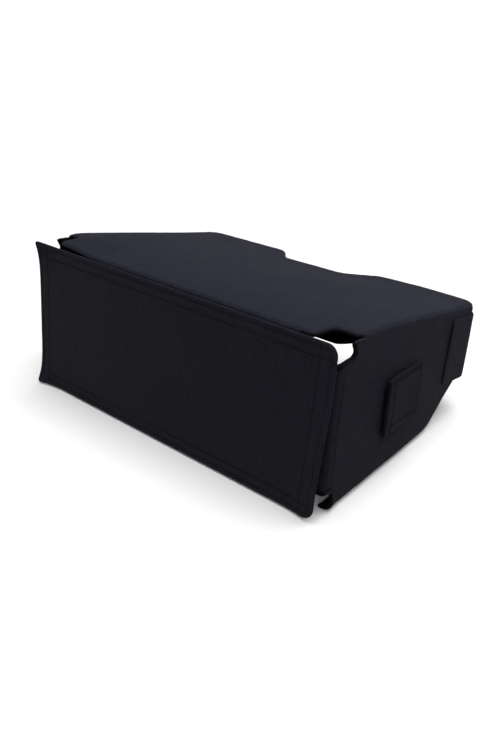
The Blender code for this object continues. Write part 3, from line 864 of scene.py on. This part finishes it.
# ---------------------------------------------------------------- materials
def cloth_material(name, colour, gloss_level, sheen, roughness=0.74, thread=0.00055, bump=0.45,
                   slubs=0.6, spread=0.12):
    """Woven cloth: plain weave along the pattern, uneven yarns, dye and gloss, faint lint.

    thread is the width of a yarn, slubs and spread are how uneven the yarns and the dye are.
    """
    made = bpy.data.materials.new(name)
    made.use_nodes = True
    tree = made.node_tree
    nodes, links = tree.nodes, tree.links
    shader = nodes["Principled BSDF"]
    shader.inputs["Sheen Weight"].default_value = sheen
    shader.inputs["Sheen Roughness"].default_value = 0.45
    shader.inputs["Sheen Tint"].default_value = (0.74, 0.77, 1.0, 1.0)
    shader.inputs["Specular IOR Level"].default_value = gloss_level

    def node(kind, **values):
        n = nodes.new(kind)
        for key, value in values.items():
            setattr(n, key, value)
        return n

    def maths(operation, a, b=None):
        n = node("ShaderNodeMath", operation=operation)
        for slot, value in ((0, a), (1, b)):
            if value is None:
                continue
            if isinstance(value, (int, float)):
                n.inputs[slot].default_value = value
            else:
                links.new(value, n.inputs[slot])
        return n.outputs[0]

    place = node("ShaderNodeUVMap", uv_map="cloth").outputs["UV"]
    parts = node("ShaderNodeSeparateXYZ")
    links.new(place, parts.inputs[0])
    warp = maths("SINE", maths("MULTIPLY", parts.outputs[0], math.pi / thread))
    weft = maths("SINE", maths("MULTIPLY", parts.outputs[1], math.pi / thread))
    over = maths("GREATER_THAN", maths("MULTIPLY", warp, weft), 0.0)
    high = maths("MULTIPLY", maths("ABSOLUTE", warp), over)
    low = maths("MULTIPLY", maths("ABSOLUTE", weft), maths("SUBTRACT", 1.0, over))
    weave = maths("ADD", high, low)

    def cloudy(scale, detail, vector):
        n = node("ShaderNodeTexNoise")
        n.inputs["Scale"].default_value = scale
        n.inputs["Detail"].default_value = detail
        links.new(vector, n.inputs["Vector"])
        return n.outputs["Fac"]

    def around(fac, share, base):
        """A factor that varies by share above base."""
        return maths("ADD", maths("MULTIPLY", fac, share), base)

    coords = node("ShaderNodeTexCoord").outputs["Object"]
    broad = cloudy(9.0, 4.0, coords)
    fine = cloudy(420.0, 3.0, coords)
    lint = cloudy(160.0, 2.0, coords)

    shade = around(broad, spread * 2.2, 1.0 - spread * 1.1)
    shade = maths("MULTIPLY", shade, around(weave, 0.30, 0.84))
    shade = maths("MULTIPLY", shade, around(fine, 0.36, 0.82))
    for along, across in ((40.0, 300.0), (300.0, 40.0)):
        stretched = node("ShaderNodeMapping")
        stretched.inputs["Scale"].default_value = (along, across, 1.0)
        links.new(place, stretched.inputs["Vector"])
        slub = cloudy(1.0, 2.0, stretched.outputs[0])
        shade = maths("MULTIPLY", shade, around(slub, slubs, 1.0 - slubs / 2))
    ramp = node("ShaderNodeValToRGB")
    ramp.color_ramp.elements[0].position = 0.70
    ramp.color_ramp.elements[0].color = (0.0, 0.0, 0.0, 1.0)
    ramp.color_ramp.elements[1].position = 0.80
    ramp.color_ramp.elements[1].color = (1.0, 1.0, 1.0, 1.0)
    links.new(lint, ramp.inputs[0])
    dyed = node("ShaderNodeMix", data_type="RGBA", blend_type="MULTIPLY")
    dyed.inputs["Factor"].default_value = 1.0
    dyed.inputs["A"].default_value = (*colour, 1.0)
    links.new(shade, dyed.inputs["B"])
    dusted = node("ShaderNodeMix", data_type="RGBA")
    links.new(maths("MULTIPLY", ramp.outputs[0], 0.08), dusted.inputs["Factor"])
    links.new(dyed.outputs["Result"], dusted.inputs["A"])
    dusted.inputs["B"].default_value = (0.09, 0.09, 0.10, 1.0)
    links.new(dusted.outputs["Result"], shader.inputs["Base Color"])

    gloss = around(broad, 0.16, roughness - 0.08)
    gloss = maths("SUBTRACT", gloss, maths("MULTIPLY", weave, 0.06))
    links.new(gloss, shader.inputs["Roughness"])

    relief = node("ShaderNodeBump")
    relief.inputs["Strength"].default_value = bump
    relief.inputs["Distance"].default_value = thread * 0.35
    relief_height = maths("ADD", weave, maths("MULTIPLY", fine, 0.5))
    links.new(relief_height, relief.inputs["Height"])
    links.new(relief.outputs[0], shader.inputs["Normal"])
    return made


# top_cloth_lit_tone is a lit copy of the padded cloth, tuned to the brighter tone that the light gives
# the top: bluer, glossier and with more sheen than the padded_cloth of the sides and rear flap. This
# is painted light.
top_cloth_lit_tone = cloth_material(
    "top_cloth_lit_tone", (0.0118, 0.0117, 0.0202), gloss_level=0.06, sheen=0.048, slubs=1.0)
outer_cloth = cloth_material(
    "padded_cloth", (0.0170, 0.0165, 0.0235), gloss_level=0.02, sheen=0.012, slubs=0.85)
handle_cloth = cloth_material(
    "handle_cloth", (0.0122, 0.0118, 0.0172), gloss_level=0.02, sheen=0.008)
front_cloth = cloth_material(
    "front_cloth", (0.0208, 0.0198, 0.0286), gloss_level=0.04, sheen=0.012,
    roughness=0.66, bump=0.35, spread=0.06)
lining_cloth = cloth_material(
    "lining_cloth", (0.0080, 0.0080, 0.0092), gloss_level=0.03, sheen=0.012,
    roughness=0.85, thread=0.00110, bump=0.50)
tape_cloth = cloth_material(
    "binding_tape", (0.0040, 0.0040, 0.0052), gloss_level=0.03, sheen=0.004,
    roughness=0.60, thread=0.00080, bump=0.50)
thread_cloth = cloth_material(
    "thread", (0.0065, 0.0065, 0.0085), gloss_level=0.05, sheen=0.008,
    roughness=0.50, thread=0.00030, bump=0.20)


def dress(piece, cloth, slot, *nodes):
    piece.data.materials.append(cloth)
    if cloth in (top_cloth_lit_tone, outer_cloth, handle_cloth, front_cloth):
        piece.data.materials.append(lining_cloth)
    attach(piece, "root")
    if nodes:
        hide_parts(*nodes)
    return piece


def trim(piece):
    return dress(piece, thread_cloth, "binding_tape")


# ---------------------------------------------------------------- the pieces
# The top wears the lit copy of the padded cloth: a painted lighter top.
top = dress(
    sewn("top_cloth_lit_tone", top_outline, top_lift, CLOTH, relief=top_relief, spacing=0.0048, rim=0.0018),
    top_cloth_lit_tone, "padded_cloth", "top_panel",
)


def outline_run(path, first, last):
    """The part of an outline from the point nearest to first on to the one nearest to last."""
    a = int(np.linalg.norm(path.points - first, axis=1).argmin())
    b = int(np.linalg.norm(path.points - last, axis=1).argmin())
    count = len(path.points)
    index = [(a + k) % count for k in range((b - a) % count + 1)]
    return path.points[index], path.normals[index]


for word, mirrored, seed, cut_rear, top_run in (
    ("right", False, 11.0, 0.0795, ((0.286, -0.001), (0.3655, 0.063))),
    ("left", True, 21.0, 0.0735, ((-0.3655, 0.063), (-0.322, -0.001))),
):
    side_lift = side_lifts[-1.0 if mirrored else 1.0]
    side_corners = side_pattern(cut_rear)
    side_outline = rounded(side_corners)
    hem = [on_front_skirt(CUT_LOW_Z - 0.004), on_front_skirt(NOTCH_TOP_Z + 0.004)]
    hem = [(u + FRONT_SKIRT + 0.006, v - FRONT_SKIRT * math.sin(FRONT_LEAN)) for u, v in hem]
    side_rows = [hem, [(u + 0.005, v) for u, v in hem]]
    piece = dress(
        sewn(f"side_cloth_{word}", side_outline, side_lift, CLOTH, rows=side_rows,
             relief=side_relief(seed), mirrored=mirrored, spacing=0.0046, rim=0.0018, groove=0.0003),
        outer_cloth, "padded_cloth", f"side_panel_{word}",
    )
    side_thread = trim(stitching(f"side_stitching_{word}", side_rows, side_lift, mirrored))

    handle = dress(
        sewn(f"handle_cloth_{word}", handle_outline, handle_lift, HANDLE_CLOTH, rows=handle_rows(),
             relief=handle_relief, mirrored=mirrored, spacing=0.0030, rim=0.0024, groove=0.0013,
             groove_width=0.0015, back_spacing=0.006),
        handle_cloth, "padded_cloth", f"handle_flap_{word}",
    )
    trim(stitching(f"handle_stitching_{word}", handle_rows(), handle_lift, mirrored, height=-0.0005))

    top_edge = outline_run(top_outline, *top_run)
    cut_out = outline_run(side_outline, side_corners[1][:2], side_corners[4][:2])
    notch = outline_run(side_outline, side_corners[5][:2], side_corners[8][:2])
    top_strips = (
        (top_edge, top_lift, TOP_TAPE_WIDTH, False), (cut_out, side_lift, TAPE_WIDTH, mirrored))
    floor_strips = ((notch, side_lift, TAPE_WIDTH, mirrored),)
    for place, strips in (("top", top_strips), ("floor", floor_strips)):
        points, faces = [], []
        for (run, out), lift, width, flipped in strips:
            tape_strip(points, faces, run, out, lift, CLOTH, width, flipped)
        dress(new_mesh(f"{place}_binding_{word}", points, faces), tape_cloth, "binding_tape",
              f"corner_binding_{place}_{word}")

flap = dress(
    sewn("rear_cloth", flap_pattern, flap_lift, FLAP_CLOTH, relief=flap_relief,
         spacing=0.0046, rim=0.0026),
    outer_cloth, "padded_cloth", "rear_flap",
)

front = dress(
    sewn("front_cloth", front_outline, front_lift, FRONT_CLOTH, rows=front_rows(), relief=front_relief,
         spacing=0.0060, rim=0.0015, groove=0.0006, painted_highlight_rim=True),
    front_cloth, "front_cloth", "front_panel",
)
# Third material, for the rim: the top's lit copy of the cloth, a painted highlight along the panel's
# edges.
front.data.materials.append(top_cloth_lit_tone)
front_thread = trim(stitching("front_stitching", front_rows(), front_lift))


# ---------------------------------------------------------------- floor, light and camera
STAGE_REACH = 30.0          # half width of the floor, and height of the walls behind it
WORLD_STRENGTH = 0.24
HORIZON_BAND = 0.10         # the world darkens from this far above the horizon to this far below
BELOW_HORIZON = 0.05        # share of its light that is left down there


def stage_piece(name, points, faces, values):
    """A surface of the studio, with the given values on its shader."""
    mesh = bpy.data.meshes.new(name)
    mesh.from_pydata(points, [], faces)
    material = bpy.data.materials.new(name)
    material.use_nodes = True
    shader = material.node_tree.nodes["Principled BSDF"]
    for socket, value in values.items():
        shader.inputs[socket].default_value = value
    mesh.materials.append(material)
    made = bpy.data.objects.new(name, mesh)
    bpy.context.scene.collection.objects.link(made)
    return made


far_corners = [(-STAGE_REACH, -STAGE_REACH), (STAGE_REACH, -STAGE_REACH),
               (STAGE_REACH, STAGE_REACH), (-STAGE_REACH, STAGE_REACH)]
floor_rim = [(x, y, FLOOR_Z) for x, y in far_corners]
floor = stage_piece("studio_floor", floor_rim, [(0, 1, 2, 3)], {
    "Base Color": (0.98, 0.98, 0.98, 1.0), "Roughness": 0.9, "Specular IOR Level": 0.1,
})
floor.visible_diffuse = False       # no white bounce from below, as on a photographer's table

# Pale walls behind the floor. Only the camera sees them, so they don't light the cover.
wall_rim = [(x, y, FLOOR_Z + STAGE_REACH) for x, y in far_corners]
wall_faces = [(k, (k + 1) % 4, (k + 1) % 4 + 4, k + 4) for k in range(4)]
wall = stage_piece("studio_backdrop", floor_rim + wall_rim, wall_faces, {
    "Base Color": (0.0, 0.0, 0.0, 1.0), "Specular IOR Level": 0.0,
    "Emission Color": (1.0, 1.0, 1.0, 1.0), "Emission Strength": 1.0,
})
wall.visible_diffuse = wall.visible_glossy = False
wall.visible_transmission = wall.visible_shadow = False

world = bpy.data.worlds.new("studio")
world.use_nodes = True
sky = world.node_tree.nodes["Background"]
sky.inputs["Strength"].default_value = WORLD_STRENGTH
world_nodes, world_links = world.node_tree.nodes, world.node_tree.links
direction = world_nodes.new("ShaderNodeTexCoord").outputs["Generated"]
split = world_nodes.new("ShaderNodeSeparateXYZ")
horizon = world_nodes.new("ShaderNodeMapRange")
horizon.inputs["From Min"].default_value = -HORIZON_BAND
horizon.inputs["From Max"].default_value = HORIZON_BAND
horizon.inputs["To Min"].default_value = BELOW_HORIZON
world_links.new(direction, split.inputs[0])
world_links.new(split.outputs["Z"], horizon.inputs["Value"])
world_links.new(horizon.outputs["Result"], sky.inputs["Color"])
bpy.context.scene.world = world
bpy.context.scene.view_settings.view_transform = "Standard"


def compass(azimuth, elevation):
    """Unit vector towards a place in the sky: azimuth from the front, to the right, in degrees."""
    a, e = math.radians(azimuth), math.radians(elevation)
    return Vector((math.sin(a) * math.cos(e), -math.cos(a) * math.cos(e), math.sin(e)))


def looking_back(name, data, away, place=(0.0, 0.0, 0.0)):
    """Puts a light or a camera at a place, turned so that it looks against away."""
    made = bpy.data.objects.new(name, data)
    made.location = place
    made.rotation_euler = away.to_track_quat("Z", "Y").to_euler()
    bpy.context.scene.collection.objects.link(made)
    return made


def sun(name, azimuth, elevation, strength, angle):
    """Soft light from a compass direction; angle is its width in degrees."""
    light = bpy.data.lights.new(name, "SUN")
    light.energy = strength
    light.angle = math.radians(angle)
    looking_back(name, light, compass(azimuth, elevation))


def softbox(name, azimuth, elevation, distance, size, power):
    """A square light that faces the middle of the cover."""
    light = bpy.data.lights.new(name, "AREA")
    light.shape = "SQUARE"
    light.size = size
    light.energy = power
    away = compass(azimuth, elevation)
    looking_back(name, light, away, away * distance)


sun("ceiling", azimuth=155.0, elevation=80.0, strength=2.60, angle=60.0)
softbox("front_softbox", azimuth=55.0, elevation=30.0, distance=2.5, size=1.5, power=12.0)
softbox("rear_softbox", azimuth=120.0, elevation=62.0, distance=1.5, size=0.9, power=5.0)


def place_camera():
    back = compass(CAMERA_AZIMUTH, CAMERA_ELEVATION)
    data = bpy.data.cameras.new("camera")
    data.sensor_fit = "VERTICAL"
    data.sensor_height = 36.0
    data.lens = CAMERA_LENS
    target = Vector(CAMERA_TARGET) + Vector((0.0, -MOUNT_Y, -MOUNT_Z))
    made = looking_back("camera", data, back, target + back * CAMERA_DISTANCE)
    bpy.context.scene.camera = made


place_camera()
